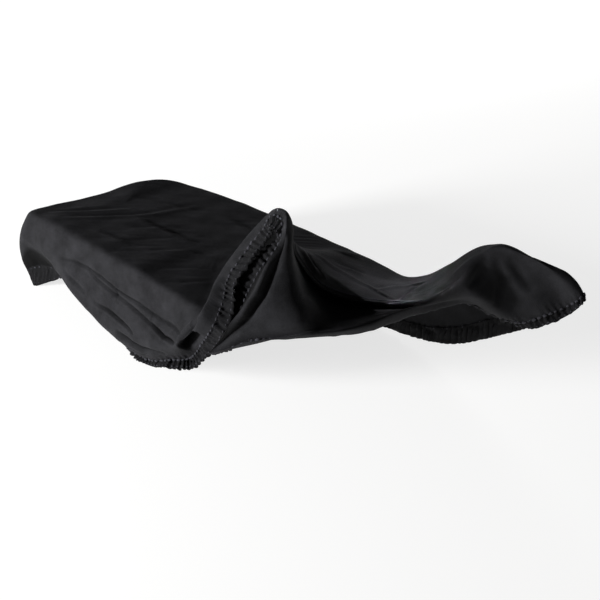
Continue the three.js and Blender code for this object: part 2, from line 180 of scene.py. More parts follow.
# The open end: the rolled band, the tent with its ridge, the low strip and the cone of the lifted tip.
OPEN_END = (
    Placed(
        "band_low", (128, -128, 6), (126, -136, -27), (132, -149, -49),
        (139, -154, -58), (133, -146, -85), 20,
    ),
    Placed(
        "pocket", (164, -128, 5), (158, -136, -15), (162, -149, -29),
        (167, -155, -41), (181, -145, -65), 34,
    ),
    Placed(
        "band_turn", (178, -125, 4), (180, -135, -2), (183, -145, -12),
        (180, -150, -25), (212, -138, -35), 18,
    ),
    Placed("roll_back", (182, -117, 4), (184, -127, 8), (190, -136, 9), (199, -140, 4), (231, -132, -4), 5),
    Placed(
        "roll_mid", (182, -101, 4), (172, -107, 10), (174, -111, 17),
        (184, -113, 18), (224, -114, 18), 4,
    ),
    Placed("roll_top", (172, -77, 3), (154, -81, 11), (152, -83, 21), (160, -85, 27), (204, -96, 34), 4),
    Placed("tent_side", (160, -53, 3), (148, -59, 19), (150, -65, 33), (158, -71, 42), (203, -74, 54), 2),
    Placed("tent_back", (144, -11, 4), (150, -19, 41), (162, -28, 69), (175, -35, 88), (214, -51, 88), 4),
    Placed("tent_tip", (150, 18, 20), (174, -3, 62), (189, -20, 92), (203, -34, 115), (217, -57, 99), 2),
    Placed("tip_right", (202, -8, 62), (214, -18, 84), (229, -30, 104), (236, -44, 120), (228, -58, 99)),
    Placed("ridge_top", (215, -20, 58), (208, -12, 54), (260, -57, 80), (247, -67, 90), (214, -44, 79), 12),
    Placed("ridge_upper", (230, -21, 45), (200, 8, 28), (277, -66, 61), (247, -97, 62), (195, -67, 49), 16),
    Placed("ridge_mid", (246, -20, 33), (214, 16, 8), (297, -78, 46), (250, -117, 42), (195, -88, 27), 18),
    Placed(
        "ridge_low", (261, -17, 25), (228, 22, -2), (313, -81, 36),
        (246, -131, 23), (210, -109, 13), 16,
    ),
    Placed(
        "ridge_foot", (271, -9, 19), (240, 28, -6), (321, -86, 28),
        (238, -143, 1), (217, -124, -10), 10,
    ),
    Placed("flap_back", (280, 0, 14), (250, 34, -8), (326, -83, 22), (216, -148, -32), (205, -127, -41)),
    Placed("hem_near", (289, 7, 12), (262, 38, -8), (328, -75, 16), (271, -131, 0), (268, -108, -4)),
    Placed("hem_mid", (304, 22, 9), (282, 46, -8), (341, -52, 16), (320, -55, -2), (308, -42, 1)),
    Placed("hem_right", (317, 36, 7), (300, 54, -7), (344, -14, 15), (334, -10, -7), (318, -6, -1)),
    Placed("hem_low", (330, 50, 7), (322, 62, -4), (339, 27, 12), (333, 46, -10), (317, 42, -7)),
    Placed("valley", (344, 64, 10), (341, 66, 3), (342, 66, 9), (345, 90, -7), (327, 86, -7)),
    Placed("hem_front", (357, 81, 20), (360, 92, 12), (362, 111, 8), (365, 127, -3), (339, 130, -8)),
    Placed("cone_low", (369, 97, 38), (379, 107, 27), (390, 124, 12), (395, 150, -18), (370, 161, -28)),
    Placed("cone_mid", (367, 129, 54), (377, 141, 36), (394, 154, 7), (409, 163, -16), (413, 169, -31)),
    Placed("grip", (377, 148, 69), (391, 157, 50), (412, 167, 22), (430, 173, 0), (442, 176, -16)),
    Placed("grip_end", (414, 167, 63), (418, 180, 46), (433, 190, 25), (446, 193, 10), (458, 194, -2)),
)

# The corner where the lifted tip turns round to the front.
PULLED_CORNER = (
    Placed("corner_near", (431, 191, 47), (439, 194, 41), (452, 197, 31), (462, 198, 22), (470, 198, 14)),
    Placed("corner_far", (435, 198, 46), (441, 204, 42), (451, 208, 34), (460, 209, 25), (466, 208, 17)),
)

# The front skirt, from the lifted tip back to the fitted end, each row with the section that it faces.
FRONT_SKIRT = (
    FrontRow("front_grip_end", (408, 185, 51), 10, -37, "grip_end"),
    FrontRow("front_grip", (376, 176, 61), 12, -57, "grip"),
    FrontRow("front_cone", (348, 162, 59), 16, -73, "cone_mid"),
    FrontRow("front_rise", (312, 142, 26), 22, -89, "hem_front"),
    FrontRow("front_valley", (257, 137, -8), 20, -101, "hem_right"),
    FrontRow("front_right", (180, 136, -8), 16, -106, "ridge_mid"),
    FrontRow("front_mid", (70, 134, -8), 18, -106, "band_low"),
    FrontRow("front_left", (-40, 131, -8), 15, -106, "pouch_left"),
    FrontRow("front_corner", (-132, 115, -6), 30, -106, "back_tight"),
)

# The fitted end, from the front corner to the back one.
FITTED_END = (
    Placed(
        "end_front", (-184, 93, -2), (-197, 108, -29), (-204, 117, -53),
        (-207, 122, -77), (-203, 121, -106),
    ),
    Placed("end_side", (-199, 55, 2), (-212, 57, -25), (-218, 58, -49), (-219, 59, -75), (-208, 59, -106)),
    Placed(
        "end_mid", (-200, -15, 1), (-214, -15, -25), (-221, -15, -49),
        (-222, -15, -75), (-208, -15, -106),
    ),
    Placed(
        "end_back", (-201, -83, 4), (-216, -83, -23), (-224, -83, -47),
        (-224, -83, -75), (-208, -83, -106),
    ),
    Placed(
        "end_out", (-199, -123, 6), (-216, -128, -23), (-225, -130, -45),
        (-224, -130, -75), (-205, -127, -106),
    ),
    Placed(
        "end_in", (-192, -128, 7), (-196, -135, -14), (-197, -137, -28),
        (-196, -136, -37), (-199, -124, -107), 16,
    ),
)

# The middle line of the top, from the fitted end to the lifted tip.
MIDDLE_LINE = (
    MiddleRow("back_corner", (-140, -5, 2)),
    MiddleRow("pouch_start", (-80, -3, 2)),
    MiddleRow("band_low", (52, 4, 2)),
    MiddleRow("roll_mid", (62, 8, 2)),
    MiddleRow("tent_tip", (100, 42, 2)),
    MiddleRow("tip_right", (138, 68, 5)),
    MiddleRow("ridge_upper", (174, 62, 18)),
    MiddleRow("ridge_low", (211, 52, 16)),
    MiddleRow("hem_near", (257, 53, 10)),
    MiddleRow("hem_mid", (284, 57, 7)),
    MiddleRow("hem_low", (312, 75, 5)),
    MiddleRow("valley", (325, 90, 9)),
    MiddleRow("hem_front", (344, 104, 27)),
    MiddleRow("cone_low", (350, 118, 41)),
    MiddleRow("cone_mid", (352, 148, 57)),
    MiddleRow("grip", (374, 163, 68)),
    MiddleRow("grip_end", (412, 176, 60)),
)

CREASES = (
    # On the back skirt, drawn as seen square on.
    Crease(Plane.BACK, ((14, -37), (25, -27)), 1.8, 1.9, 0.6),
    Crease(Plane.BACK, ((17, -26), (24, -39)), 1.6, 1.9, 0.6),
    Crease(Plane.BACK, ((97, -29), (96, -40)), -2.2, 1.9, 0.3),
    Crease(
        Plane.BACK,
        ((-110, -27), (-71, -20), (-46, -20), (-17, -22), (19, -27), (66, -27), (120, -30), (170, -26)),
        3.6, 1.8, 0.5,
    ),
    Crease(
        Plane.BACK,
        ((-45, -22), (-19, -28), (20, -33), (46, -34), (74, -37), (100, -40), (127, -45), (160, -40)),
        3.4, 1.8, 0.5,
    ),
    Crease(Plane.BACK, ((96, -40), (127, -45), (158, -40)), 4.0, 2.2, 0.5),
    Crease(Plane.BACK, ((-18, -55), (10, -54), (41, -57), (62, -60), (74, -64)), 4.4, 2.0, 0.6),
    Crease(Plane.BACK, ((-95, -38), (-62, -44), (-36, -50)), 1.6, 2.8, 0.6),
    Crease(Plane.BACK, ((36, -73), (54, -75), (71, -77), (90, -76), (114, -71), (136, -66)), 8.0, 4.0, 0.4),
    # On the tent, the strip and the pulled corner, in space.
    Crease(
        Plane.SPACE, ((167, -146, -46), (180, -144, -34), (193, -143, -19)),
        26.0, 6.5, 0.0, (-0.75, 0.65, 0.1),
    ),
    Crease(
        Plane.SPACE,
        ((243, -50, 104), (248, -66, 86), (254, -80, 70), (262, -104, 47), (258, -124, 23),
         (240, -140, -5), (222, -148, -30)),
        9.5, 4.4, 0.3,
    ),
    Crease(Plane.SPACE, ((190, 26, 44), (205, 18, 39), (222, 13, 34), (242, 10, 29)), 6.0, 5.0, 0.7),
    Crease(
        Plane.SPACE, ((172, 40, 32), (198, 45, 23), (225, 48, 16), (269, 56, 8), (321, 55, 8)),
        -1.8, 3.0, 0.3,
    ),
    Crease(Plane.SPACE, ((301, 116, 7), (289, 106, 1), (280, 87, 1), (278, 55, 8)), -2.0, 3.2, 0.5),
    Crease(Plane.SPACE, ((306, 111, 8), (308, 87, 5), (318, 56, 8)), -2.0, 3.2, 0.5),
    Crease(Plane.SPACE, ((148, 109, -3), (172, 107, 2), (190, 119, -2)), 2.2, 4.0, 0.8),
    Crease(Plane.SPACE, ((205, 60, 15), (218, 70, 9), (236, 80, 5)), 2.2, 4.0, 0.8),
    Crease(Plane.SPACE, ((371, 140, 59), (366, 119, 47), (362, 102, 37), (344, 86, 16)), 2.6, 6.0, 0.6),
    Crease(Plane.SPACE, ((374, 141, 57), (376, 123, 38), (378, 106, 29)), 2.6, 5.0, 0.5),
    Crease(Plane.SPACE, ((381, 149, 57), (385, 150, 37), (388, 147, 18), (394, 137, 1)), 2.4, 6.0, 0.5),
    Crease(Plane.SPACE, ((391, 157, 56), (405, 164, 36), (420, 170, 18)), 2.4, 6.0, 0.5),
    Crease(Plane.SPACE, ((184, -80, 13), (191, -66, 28), (205, -60, 44)), 3.0, 4.0, 0.6),
    Crease(Plane.SPACE, ((188, -141, 0), (180, -145, -14), (167, -152, -35)), 5.5, 3.6, 0.2),
    # On the flat top, faint, drawn in plan.
    Crease(Plane.TOP, ((-183, -110), (-153, -60), (-126, -13)), 1.3, 5, 0.8),
    Crease(Plane.TOP, ((-153, -106), (-122, -56), (-94, -3), (-87, 74)), 1.5, 5, 0.8),
    Crease(Plane.TOP, ((-89, -23), (-29, -18), (29, -14)), 1.3, 5, 0.8),
    Crease(Plane.TOP, ((-68, -54), (-39, -11), (-1, 18)), 0.9, 4, 0.8),
    Crease(Plane.TOP, ((-28, -66), (-4, -29), (38, -4)), 0.9, 4, 0.8),
    Crease(Plane.TOP, ((10, -78), (34, -41), (70, -27)), 1.0, 4, 0.8),
    Crease(Plane.TOP, ((60, -100), (86, -62), (112, -40)), 0.9, 4, 0.8),
    Crease(Plane.TOP, ((108, -104), (129, -68)), 0.9, 4, 0.8),
    Crease(Plane.TOP, ((-83, -90), (-17, -81)), 0.8, 5, 0.8),
    Crease(Plane.TOP, ((-150, 20), (-60, 60)), 0.9, 6, 0.8),
    Crease(Plane.TOP, ((-30, 80), (60, 70), (120, 84)), 0.9, 6, 0.8),
)


def through(points: np.ndarray, rows: np.ndarray, closed: bool) -> np.ndarray:
    """Centripetal curve through points, as a cubic between each two with slopes from their neighbours.

    Args:
        points: One point a row.
        rows: Row numbers, which may fall between two points.
        closed: True where the last point leads to the first.

    Returns:
        A point of the curve for each row number.
    """
    count = len(points)
    first = np.floor(rows).astype(int)
    if not closed:
        first = np.minimum(first, count - 2)
    ids = first[:, None] + np.arange(-1, 3)
    ids = ids % count if closed else np.clip(ids, 0, count - 1)
    before, start, end, after = (points[ids[:, k]] for k in range(4))

    def knot(a: np.ndarray, b: np.ndarray) -> np.ndarray:
        """Root of the distance from a to b."""
        return np.sqrt(np.maximum(np.linalg.norm(b - a, axis=1, keepdims=True), SAME_POINT))

    step = knot(start, end)
    step_in = np.where((ids[:, 0] == ids[:, 1])[:, None], step, knot(before, start))
    step_out = np.where((ids[:, 2] == ids[:, 3])[:, None], step, knot(end, after))
    chord = (end - start) / step
    slope_in = step * ((start - before) / step_in - (end - before) / (step_in + step) + chord)
    slope_out = step * (chord - (after - start) / (step + step_out) + (after - end) / step_out)
    part = (rows - first)[:, None]
    square, cube = part**2, part**3
    return (
        start * (2 * cube - 3 * square + 1)
        + slope_in * (cube - 2 * square + part)
        + end * (3 * square - 2 * cube)
        + slope_out * (cube - square)
    )


def towards(a: np.ndarray, b: np.ndarray, part: float, reach: np.ndarray | float = math.inf) -> np.ndarray:
    """Points from a towards b: at most the given part of the way, and at most reach away."""
    length = np.maximum(np.linalg.norm(b - a, axis=1, keepdims=True), TINY)
    return a + (b - a) * np.minimum(part, reach / length)


def halfway(a: np.ndarray, b: np.ndarray) -> np.ndarray:
    """Points halfway from a to b."""
    return 0.5 * (a + b)


def bend(
    a: np.ndarray, corner: np.ndarray, b: np.ndarray, steps: int, pull: np.ndarray | float = 1.0
) -> np.ndarray:
    """Soft bend: the quadratic curve that leaves a, turns at corner and reaches b, without a itself.

    Args:
        a: Start of each bend.
        corner: The corner that each bend turns at.
        b: End of each bend.
        steps: Points of each bend.
        pull: How hard the corner draws the curve; 1 is the plain curve, more turns it tighter.

    Returns:
        Points by profile and step.
    """
    t = (np.arange(1, steps + 1) / steps)[None, :, None]
    shares = ((1 - t) ** 2, 2 * t * (1 - t) * pull, t**2)
    drawn = shares[0] * a[:, None] + shares[1] * corner[:, None] + shares[2] * b[:, None]
    return drawn / sum(shares)


def ring_faces(ids: np.ndarray) -> np.ndarray:
    """Quads of a net that closes round its first axis, each between two steps of one row and the next."""
    following = np.roll(ids, -1, axis=0)
    return np.stack([ids[:, :-1], ids[:, 1:], following[:, 1:], following[:, :-1]], axis=-1)


class Noise(NamedTuple):
    """Even noise: its wave length in millimetres, one or one for each axis, its strength and its seed."""

    scale: float | Point
    strength: float
    seed: int

    def at(self, points: np.ndarray) -> np.ndarray:
        """Mean of the sines of a few plane waves, of random direction and start, times the strength.

        Args:
            points: Points in millimetres.

        Returns:
            One value for each point, about from minus to plus the strength.
        """
        rng = np.random.default_rng(self.seed)
        waves = rng.normal(size=(NOISE_WAVES, 3)) / np.array(self.scale)
        starts = rng.uniform(0, 2 * np.pi, NOISE_WAVES)
        sines = np.sin(points @ (2 * np.pi * waves.T) * NOISE_TURNS + starts)
        return self.strength * (sines.mean(axis=1) * NOISE_GAIN)


@dataclass
class CoverForm:
    """The cover's surface as a net of profiles, cloth and elastic together, in millimetres."""

    back_face_y: float = -128
    edge_reach: float = 6
    lip_reach: float = 13
    # Sections between which the edge's bend grows to the lip's reach, keeps it and falls back.
    lip: tuple[str, ...] = ("tip_right", "ridge_upper", "hem_low", "hem_front")
    # Sections between which the rim turns tighter, stays so and falls back.
    firm: tuple[str, ...] = ("tip_right", "ridge_upper", "flap_back", "hem_right")
    firm_pull: float = 2.6
    crown_part: float = 0.45
    edge_part: float = 0.42
    groove_part: float = 0.45
    groove_fall: float = 0.6
    elastic_width: float = 16
    elastic_part: float = 0.7
    band_lead: int = 4
    near_step: float = 2.7
    end_step: float = 6.0
    far_every: int = 3
    relax_rounds: int = 6
    relax_share: float = 0.5
    # Lines of the back skirt: part of the way to the fold, offset in Y, and offset for each mm it stands out.
    back_hang: tuple = (("mid", 0.42, -4.5, 0.2), ("rim", 0.78, -3.0, -0.02))
    # Lines of the front skirt: part of the way down to the hem, and part of the way out.
    front_hang: tuple = (("mid", 0.2, 0.6), ("rim", 0.42, 0.9), ("fold", 0.66, 1.0), ("hem", 1.0, 0.85))
    # Points in each stretch of a profile.
    steps: dict[str, int] = field(
        default_factory=lambda: dict(crown=12, top=26, edge=4, side=3, bend=19, groove=8, elastic=6)
    )

    def __post_init__(self) -> None:
        """Works out the net and relaxes it."""
        self.sections = self._sections()
        self.names = [section.name for section in self.sections]
        self.near_count = len(BACK_SKIRT) + len(OPEN_END)
        self.far_start = self.near_count + len(PULLED_CORNER)
        self.far_end = self.far_start + len(FRONT_SKIRT) - 1
        # The front skirt ends halfway to the first section of the fitted end.
        self.end_start = self.far_end + 0.5
        self._place_stations()
        self.net = self._profiles()
        self._number_points()
        self._relax()

    def row(self, name: str) -> int:
        """Row number of a section in the ring."""
        return self.names.index(name)

    def _sections(self) -> list[Placed]:
        """Works out both skirts' sections, whose lines lie at shares of the way down and out.

        Returns:
            All sections in the order of the ring: back, open end, pulled corner, front and fitted end.
        """
        back = []
        for s in BACK_SKIRT:
            edge = np.array([s.x, self.back_face_y, s.edge_z], float)
            fold = np.array([s.x + s.shift, self.back_face_y - s.out, s.fold_z], float)
            lines = dict(edge=edge, fold=fold, hem=fold + np.array(s.tuck))
            for line, down, off, off_by_out in self.back_hang:
                lines[line] = edge + down * (fold - edge) + np.array([0, off + off_by_out * s.out, 0])
            back.append(Placed(s.name, dip=s.dip, **lines))
        front = []
        for s in FRONT_SKIRT:
            x, y, z = s.edge
            hang = {
                line: (x, y + s.out * out, z + (s.hem_z - z) * drop) for line, drop, out in self.front_hang
            }
            front.append(Placed(s.name, edge=s.edge, **hang))
        return [*back, *OPEN_END, *PULLED_CORNER, *front, *FITTED_END]

    def _line(self, line: str) -> np.ndarray:
        """Points of all sections on one of the cloth's lines."""
        return np.array([getattr(section, line) for section in self.sections], float)

    def _rows_between(self, start: int, stop: int, step: float) -> np.ndarray:
        """Row numbers from one section to another, about a step apart on the line that runs longest.

        Args:
            start: Number of the first section.
            stop: Number of the last section, whose own row is left out.
            step: Millimetres from row to row.

        Returns:
            Row numbers, most of them between two sections.
        """
        lines = np.stack([self._line(line) for line in LINES])
        lengths = np.linalg.norm(np.roll(lines, -1, axis=1) - lines, axis=2).max(axis=0)
        parts = [max(1, round(length / step)) for length in lengths[start:stop]]
        return np.concatenate([start + k + np.arange(n) / n for k, n in enumerate(parts)])

    def _facing(self, rows: np.ndarray) -> np.ndarray:
        """Rows of the front skirt that face rows of the near side, straight between the table's pairs.

        Args:
            rows: Row numbers of the near side.

        Returns:
            A row number of the front skirt for each.
        """
        faced = [0, *(self.row(s.faces) for s in reversed(FRONT_SKIRT))]
        facing = [self.end_start, *range(self.far_end, self.far_start - 1, -1)]
        return np.interp(rows, faced, facing)

    def _place_stations(self) -> None:
        """Row numbers of the profiles round the hem, and where each starts on the middle line."""
        last = self.near_count - 1
        near = np.append(self._rows_between(0, last, self.near_step), last)
        corner = self._rows_between(last, self.far_start, self.near_step)[1:]
        end = self._rows_between(self.far_end, len(self.sections), self.end_step)
        end = end[end > self.end_start]
        count = len(near)
        order = np.arange(count)
        facing = np.unique(np.append(order[::self.far_every], count - 1))[::-1]
        self.near = near
        self.rows = np.concatenate([near, corner, self._facing(near[facing]), end])
        self.spine = np.concatenate([order, np.full(len(corner), count - 1), facing, np.zeros(len(end), int)])

    def _raised(self, names: tuple[str, ...], low: float, high: float) -> np.ndarray:
        """A value for each station: low, then high between the second and the third of four sections."""
        return np.interp(self.rows, [self.row(name) for name in names], [low, high, high, low])

    def _profiles(self) -> np.ndarray:
        """Works out all profiles: each is a chain of soft bends whose corners are the lines' points.

        Returns:
            Points by station and step from the middle line to the hem.
        """
        at = {line: through(self._line(line), self.rows, True) for line in LINES}
        dips = np.array([[section.dip, 0, 0] for section in self.sections], float)
        dip = through(dips, self.rows, True)[:, :1]
        middle_rows = [self.row(m.section) for m in MIDDLE_LINE]
        middle_at = np.interp(self.near, middle_rows, np.arange(len(MIDDLE_LINE)))
        middles = through(np.array([m.at for m in MIDDLE_LINE], float), middle_at, False)
        near_edge = through(self._line("edge"), self.near, True)
        far_edge = through(self._line("edge"), self._facing(self.near), True)
        sides = [towards(middles, side, self.crown_part) for side in (near_edge, far_edge)]
        crown = halfway(halfway(*sides), middles)[self.spine]
        middle = middles[self.spine]
        edge, mid, rim, fold, hem = (at[line] for line in LINES)

        inwards = (middle - fold) * [1, 1, 0]
        inwards /= np.linalg.norm(inwards, axis=1, keepdims=True)
        inwards[:, 2] = -self.groove_fall
        inwards /= np.linalg.norm(inwards, axis=1, keepdims=True)
        groove = fold + self.groove_part * (hem - fold) + inwards * dip
        stitch = towards(hem, groove, self.elastic_part, self.elastic_width)
        seam = halfway(stitch, groove)
        crown_edge = towards(middle, edge, self.crown_part)
        reach = self._raised(self.lip, self.edge_reach, self.lip_reach)[:, None]
        edge_top = towards(edge, middle, self.edge_part, reach)
        edge_side = towards(edge, mid, self.edge_part, reach)
        pull = self._raised(self.firm, 1.0, self.firm_pull)[:, None, None]
        half_pull = 0.5 * (1 + pull)
        n = self.steps
        stretches = [
            crown[:, None],
            bend(crown, halfway(middle, crown_edge), crown_edge, n["crown"]),
            bend(crown_edge, halfway(crown_edge, edge_top), edge_top, n["top"]),
            bend(edge_top, edge, edge_side, n["edge"]),
            bend(edge_side, halfway(edge_side, halfway(edge, mid)), halfway(edge, mid), n["side"]),
            bend(halfway(edge, mid), mid, halfway(mid, rim), n["bend"]),
            bend(halfway(mid, rim), rim, halfway(rim, fold), n["bend"], pull),
            bend(halfway(rim, fold), fold, halfway(fold, groove), n["bend"], half_pull),
            bend(halfway(fold, groove), groove, seam, n["groove"]),
            bend(seam, stitch, hem, n["elastic"]),
        ]
        self.edge_step = n["crown"] + n["top"] + n["edge"] // 2
        self.fold_step = self.edge_step + n["edge"] // 2 + n["side"] + 2 * n["bend"] + n["bend"] // 2
        self.seam_step = sum(s.shape[1] for s in stretches[:-1]) - 1 - self.band_lead
        return np.concatenate(stretches, axis=1)

    def _number_points(self) -> None:
        """Numbers the net's points, where profiles share the middle line's, and lists its faces."""
        stations, steps = self.net.shape[:2]
        count = len(self.near)
        own = count + np.arange(stations * (steps - 1)).reshape(stations, steps - 1)
        self.ids = np.concatenate([self.spine[:, None], own], axis=1)
        self.faces = ring_faces(self.ids)
        self.points = np.zeros((count + own.size, 3))
        self.points[self.ids] = self.net

    def _relax(self) -> None:
        """Draws each point part of the way to the middle of its neighbours; the hem only along itself."""
        own = self.ids[:, 1:]
        inner = np.stack([self.ids[:, 1:-2], self.ids[:, 2:-1]], axis=-1).reshape(-1, 2)
        to_spine = np.stack([own[:, 0], self.ids[:, 0]], axis=-1)
        to_hem = np.stack([own[:, -2], own[:, -1]], axis=-1)
        round_ = np.stack([own, np.roll(own, -1, axis=0)], axis=-1).reshape(-1, 2)
        pairs = np.concatenate([inner, inner[:, ::-1], to_spine, to_hem, round_, round_[:, ::-1]])
        total = len(self.points)
        moved = slice(len(self.near), total)
        weight = np.bincount(pairs[:, 0], minlength=total)[moved, None]
        for _ in range(self.relax_rounds):
            neighbours = self.points[pairs[:, 1]]
            sums = np.stack([np.bincount(pairs[:, 0], neighbours[:, k], total) for k in range(3)], axis=1)
            self.points[moved] += self.relax_share * (sums[moved] / weight - self.points[moved])

    def normals(self) -> np.ndarray:
        """Works out normals: the sum of the crossed diagonals of the faces round each point, as a unit.

        Returns:
            The outward normal of each of the net's points.
        """
        quads = self.faces.reshape(-1, 4)
        a, b, c, d = (self.points[quads[:, k]] for k in range(4))
        face = np.cross(c - a, d - b)
        sums = np.zeros_like(self.points)
        for k in range(4):
            for axis in range(3):
                sums[:, axis] += np.bincount(quads[:, k], face[:, axis], len(sums))
        return sums / np.maximum(np.linalg.norm(sums, axis=1, keepdims=True), TINY)

    def lengths(self) -> tuple[np.ndarray, np.ndarray]:
        """Measures the net along its two ways.

        Returns:
            The length round the top's edge by station, and down the profile by station and step.
        """
        grid = self.points[self.ids]
        edge = grid[:, self.edge_step]
        round_ = np.linalg.norm(np.diff(edge, axis=0, prepend=edge[:1]), axis=1)
        down = np.linalg.norm(np.diff(grid, axis=1, prepend=grid[:, :1]), axis=2)
        return np.cumsum(round_), np.cumsum(down, axis=1)


@dataclass
class ClothDetail:
    """The creases, puckers and unevenness that are pressed into the relaxed net, and the painted shade of its
    creases.
    """

    form: CoverForm
    uneven: tuple[Noise, ...] = (Noise(80.0, 0.8, 3), Noise(30.0, 0.2, 4))
    # Creases: steps past the fold that the back's reach, height that the top's stay under, and their section.
    back_past_fold: int = 8
    top_below: float = 30.0
    soft_side: float = 2.4
    ridge_at: float = 1.6
    ridge_side: Point = (-0.66, -0.75, 0.0)
    taper_power: float = 0.6
    # Painted shade: its width in a crease, the depth at which a crease is painted darkest, by plane, and how
    # dark turned-in cloth is painted.
    shade_part: float = 0.6
    dark_depth: dict[Plane, float] = field(
        default_factory=lambda: {Plane.BACK: 5.0, Plane.TOP: 8.0, Plane.SPACE: 8.0}
    )
    inside_shade: float = 0.92
    inside_rise: int = 5
    # Puckers over the elastic.
    pucker_length: float = 12.0
    pucker_depth: float = 0.7
    pucker_reach: float = 8.0
    pucker_wander: Noise = Noise(60.0, 0.6, 8)
    # Wrinkles on the top: noise that is long along their way in plan and narrow across it, in patches. They
    # rise from nothing at one X over a stretch of so many millimetres, and fall to nothing at another.
    wrinkle_way: tuple[float, float] = (0.66, 0.75)
    wrinkles: tuple[Noise, ...] = (Noise((70.0, 9.0, 1.0), 1.0, 21), Noise((42.0, 5.4, 0.6), 0.6, 22))
    wrinkle_depth: float = 0.45
    patches: Noise = Noise(70.0, 1.0, 23)
    patch_share: float = 0.5
    wrinkle_rise: tuple[float, float] = (-190.0, 120.0)
    wrinkle_fall: tuple[float, float] = (210.0, 50.0)
    wrinkle_margin: int = 3

    def press(self) -> np.ndarray:
        """Moves the net's points along their normals by all details together, and works out their painted
        shade.

        Returns:
            Painted shade of each point, from 0 to 1: darker in creases and on turned-in cloth.
        """
        form = self.form
        steps = form.ids.shape[1]
        step_of = np.zeros(len(form.points))
        row_of = np.zeros(len(form.points))
        step_of[form.ids] = np.arange(steps)[None, :]
        row_of[form.ids] = form.rows[:, None]
        normals = form.normals()
        push, slide, shade = self._creases(step_of, row_of)
        for noise in self.uneven:
            push += noise.at(form.points)
        push += self._puckers() + self._wrinkles(step_of)
        # Turned-in cloth gets painted shade too.
        shade += self._painted_inside_shade(step_of, row_of)
        form.points += normals * push[:, None] + slide
        return np.clip(shade, 0, 1)

    def _creases(self, step_of: np.ndarray, row_of: np.ndarray) -> tuple[np.ndarray, np.ndarray, np.ndarray]:
        """Works out all creases: a trough of bell section along each line, with a soft ridge beside it.

        Args:
            step_of: Each point's step down its profile.
            row_of: Each point's row in the ring.

        Returns:
            The push along the normals, the shift of creases that have a way in of their own, and the painted
            shade.
        """
        form = self.form
        on_back = (step_of > form.edge_step) & (step_of < form.fold_step + self.back_past_fold)
        on_back &= row_of < form.row("roll_back")
        on_top = (step_of <= form.edge_step) & (form.points[:, 2] < self.top_below)
        active = {Plane.BACK: on_back, Plane.TOP: on_top, Plane.SPACE: np.ones(len(row_of), bool)}
        push = np.zeros(len(form.points))
        slide = np.zeros_like(form.points)
        shade = np.zeros(len(form.points))
        for crease in CREASES:
            chosen = np.flatnonzero(active[crease.plane])
            flat = form.points[chosen][:, list(crease.plane.value)]
            distance, side, taper = self._from_line(flat, np.array(crease.line, float))
            # A crease on the back falls off more slowly on its lower side.
            reach = np.where(side > 0, self.soft_side, 1.0) if crease.plane is Plane.BACK else 1.0
            trough = taper * np.exp(-((distance / (reach * crease.width)) ** 2))
            ridge = taper * np.exp(-((distance * side / crease.width - self.ridge_at) ** 2))
            # Painted shade: the colour darkens along each crease's line, the more the deeper the crease.
            line_shade = taper * np.exp(-((distance / (self.shade_part * crease.width)) ** 2))
            full_shade = self.dark_depth[crease.plane]
            shade[chosen] += np.clip(crease.depth / full_shade, 0, 1) * line_shade
            if crease.into is None:
                push[chosen] += crease.depth * (crease.ridge * ridge - trough)
            else:
                slide[chosen] += crease.depth * trough[:, None] * np.array(crease.into)
        return push, slide, shade

    def _from_line(self, points: np.ndarray, line: np.ndarray) -> tuple[np.ndarray, np.ndarray, np.ndarray]:
        """Measures points against a line of straight stretches, by the stretch that is nearest to each.

        Args:
            points: Points in the crease's plane or in space.
            line: The line's points.

        Returns:
            The distance from the line, the side of it as 1 or -1, and a share that is 1 halfway along
            the line and falls to 0 at its ends.
        """
        best = np.full(len(points), np.inf)
        side = np.ones(len(points))
        place = np.zeros(len(points))
        lengths = np.linalg.norm(np.diff(line, axis=0), axis=1)
        starts = np.concatenate([[0], np.cumsum(lengths)])
        for k, (start, end) in enumerate(zip(line[:-1], line[1:])):
            along = end - start
            part = np.clip(((points - start) @ along) / (along @ along), 0, 1)
            off = points - (start + part[:, None] * along)
            distance = np.linalg.norm(off, axis=1)
            nearer = distance < best
            best = np.where(nearer, distance, best)
            if points.shape[1] == 2:
                turn = along[1] * off[:, 0] - along[0] * off[:, 1]
            else:
                turn = off @ np.array(self.ridge_side)
            side = np.where(nearer, np.where(turn > 0, 1.0, -1.0), side)
            place = np.where(nearer, (starts[k] + part * lengths[k]) / starts[-1], place)
        taper = np.clip(4 * place * (1 - place), 0, 1) ** self.taper_power
        return best, side, taper

    def _wrinkles(self, step_of: np.ndarray) -> np.ndarray:
        """Fine slanting wrinkles on the top: long noise in patches, where the cloth lies loose.

        Args:
            step_of: Each point's step down its profile.

        Returns:
            The push along the normals.
        """
        points = self.form.points
        x, y = points[:, 0], points[:, 1]
        way_x, way_y = self.wrinkle_way
        turned = np.stack([x * way_x + y * way_y, y * way_x - x * way_y, np.zeros(len(points))], axis=1)
        waves = sum(noise.at(turned) for noise in self.wrinkles)
        patches = np.clip(self.patch_share + self.patches.at(points), 0, 1)
        rise_from, rise_over = self.wrinkle_rise
        fall_to, fall_over = self.wrinkle_fall
        loose = np.clip((x - rise_from) / rise_over, 0, 1) * np.clip((fall_to - x) / fall_over, 0, 1)
        on_top = step_of < self.form.edge_step - self.wrinkle_margin
        return self.wrinkle_depth * np.where(on_top, patches * loose * waves, 0)

    def _painted_inside_shade(self, step_of: np.ndarray, row_of: np.ndarray) -> np.ndarray:
        """Painted shade on cloth that is turned in, along the ridge and under the fitted end, rising from its
        fold.

        Args:
            step_of: Each point's step down its profile.
            row_of: Each point's row in the ring.

        Returns:
            The painted shade of each point.
        """
        form = self.form
        turned = (row_of > form.row("ridge_top")) & (row_of < form.row("flap_back"))
        turned |= (row_of > form.row("end_out")) | (row_of < form.row("back_loose"))
        rise = np.clip((step_of - form.fold_step - 1) / self.inside_rise, 0, 1)
        return np.where(turned, self.inside_shade * rise, 0)

